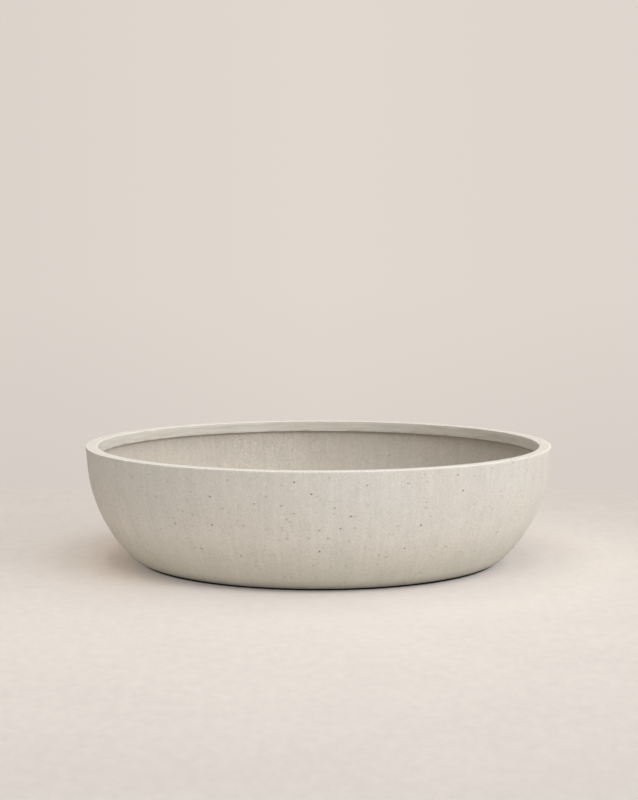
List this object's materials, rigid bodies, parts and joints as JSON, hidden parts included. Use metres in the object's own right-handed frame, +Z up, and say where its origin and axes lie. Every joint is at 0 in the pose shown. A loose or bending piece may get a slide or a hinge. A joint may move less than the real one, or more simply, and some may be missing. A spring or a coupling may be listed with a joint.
{
  "type": "bowl planter",
  "caption": "Low round concrete bowl planter with a thickened lip, on thin foot pads, with a drain sleeve, a lift-out plug and a domed drain screen.",
  "frame": {"origin": "on the ground, at the middle of the base", "axes": "+Z up along the bowl's axis of symmetry; +X and +Y level, with a foot pad on either side of +X"},
  "size_m": [0.8, 0.8, 0.2],
  "materials": {
    "concrete": "matt cast concrete, pale warm grey, fine pinholes",
    "sleeve_plastic": "moulded, matt",
    "plug_rubber": "moulded rubber, matt",
    "screen_plastic": "moulded, matt",
    "pad_rubber": "matt rubber"
  },
  "bodies": {
    "planter": {"bowl_shell": "concrete", "drain_sleeve": "sleeve_plastic", "foot_pad_1": "pad_rubber", "foot_pad_2": "pad_rubber", "foot_pad_3": "pad_rubber", "foot_pad_4": "pad_rubber", "foot_pad_5": "pad_rubber", "foot_pad_6": "pad_rubber"},
    "plug": {"drain_plug": "plug_rubber"},
    "screen": {"drain_screen": "screen_plastic"}
  },
  "joints": [
    {"name": "plug_lift", "type": "slide", "parent": "planter", "child": "plug", "axis": [0, 0, 1], "range_m": [0, 0.013]},
    {"name": "screen_lift", "type": "slide", "parent": "planter", "child": "screen", "axis": [0, 0, 1], "range_m": [0, 0.06]}
  ]
}
